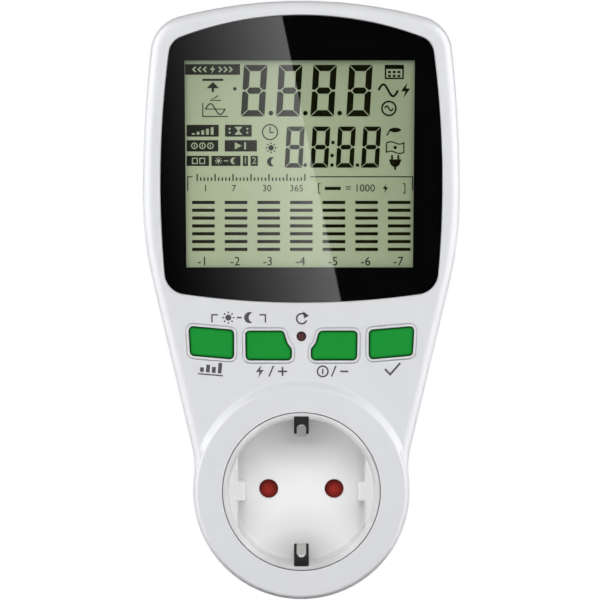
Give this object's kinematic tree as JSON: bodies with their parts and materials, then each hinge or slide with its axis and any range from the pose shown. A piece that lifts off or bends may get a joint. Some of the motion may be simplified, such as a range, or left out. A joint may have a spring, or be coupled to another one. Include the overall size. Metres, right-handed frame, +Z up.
{
  "type": "plug-in energy meter",
  "caption": "White plug-in energy meter: shield-shaped head with black lens and green display, green keys and a reset pin-hole over an earthed round mains socket, with its mains plug behind.",
  "frame": {"origin": "on the common axis of the plug and the socket, in the plane of the rear wall that meets the wall outlet", "axes": "+Z up along the height, +X to the right as seen from the front, +Y back along the plug pins into the wall; the front faces -Y"},
  "size_m": [0.092, 0.0825, 0.1727],
  "materials": {
    "white_shell": "smooth gloss white moulded plastic",
    "white_socket": "smooth white moulded plastic",
    "white_inner": "plain white moulded plastic",
    "clear_lens": "clear polished acrylic",
    "black_film": "black printed film",
    "grey_foam": "dark foam",
    "display_green": "pale green reflective display glass",
    "grey_rubber": "grey rubber",
    "board_green": "green solder mask",
    "black_part": "black moulded plastic",
    "brown_part": "dark red-brown moulded plastic",
    "green_key": "satin green moulded plastic",
    "red_shutter": "red moulded plastic",
    "contact_brass": "bright brass",
    "shunt_metal": "copper-coloured resistance alloy",
    "nickel_metal": "nickel-plated brass",
    "screw_steel": "zinc-plated steel",
    "yellow_part": "yellow moulded case",
    "blue_part": "blue dipped coating",
    "battery_sleeve": "green shrink sleeve",
    "red_lead": "red insulated wire"
  },
  "bodies": {
    "body": {"front_housing": "white_shell", "rear_housing": "white_shell", "housing_screws": "screw_steel", "display_lens": "clear_lens", "lens_mask": "black_film", "display_gasket": "grey_foam", "display_glass": "display_green", "display_frame": "white_inner", "contact_rubber": "grey_rubber", "display_board": "board_green", "display_chip": "black_part", "display_board_screws": "screw_steel", "switch_bodies": "black_part", "socket_cup": "white_socket", "socket_cup_screws": "screw_steel", "shutter_spring": "screw_steel", "contact_carrier": "white_inner", "carrier_screws": "screw_steel", "live_contact": "contact_brass", "neutral_contact": "contact_brass", "current_shunt": "shunt_metal", "earth_bracket": "nickel_metal", "plug_body": "white_socket", "live_pin": "nickel_metal", "neutral_pin": "nickel_metal", "metering_board": "board_green", "metering_board_screws": "screw_steel", "metering_chip": "black_part", "dropper_capacitor": "yellow_part", "smoothing_capacitor": "blue_part", "varistor": "blue_part", "backup_battery": "battery_sleeve", "ribbon_cable": "grey_rubber", "live_lead": "red_lead", "neutral_lead": "red_lead"},
    "history_button": {"history_key": "green_key", "history_plunger": "black_part"},
    "up_button": {"up_key": "green_key", "up_plunger": "black_part"},
    "down_button": {"down_key": "green_key", "down_plunger": "black_part"},
    "set_button": {"set_key": "green_key", "set_plunger": "black_part"},
    "reset_button": {"reset_plunger": "brown_part"},
    "shutter": {"safety_shutter": "red_shutter"}
  },
  "joints": [
    {"name": "history_press", "type": "slide", "parent": "body", "child": "history_button", "axis": [0, 1, 0], "range_m": [0, 0.0005], "stiffness_N_per_m": 1500, "springref_m": -0.0005},
    {"name": "up_press", "type": "slide", "parent": "body", "child": "up_button", "axis": [0, 1, 0], "range_m": [0, 0.0005], "stiffness_N_per_m": 1500, "springref_m": -0.0005},
    {"name": "down_press", "type": "slide", "parent": "body", "child": "down_button", "axis": [0, 1, 0], "range_m": [0, 0.0005], "stiffness_N_per_m": 1500, "springref_m": -0.0005},
    {"name": "set_press", "type": "slide", "parent": "body", "child": "set_button", "axis": [0, 1, 0], "range_m": [0, 0.0005], "stiffness_N_per_m": 1500, "springref_m": -0.0005},
    {"name": "reset_press", "type": "slide", "parent": "body", "child": "reset_button", "axis": [0, 1, 0], "range_m": [0, 0.0005], "stiffness_N_per_m": 1500, "springref_m": -0.0005},
    {"name": "shutter_turn", "type": "hinge", "parent": "body", "child": "shutter", "pos_m": [0, -0.0243, 0], "axis": [0, 1, 0], "range_deg": [0, 40], "stiffness_Nm_per_rad": 0.01, "springref_deg": -20.05}
  ]
}
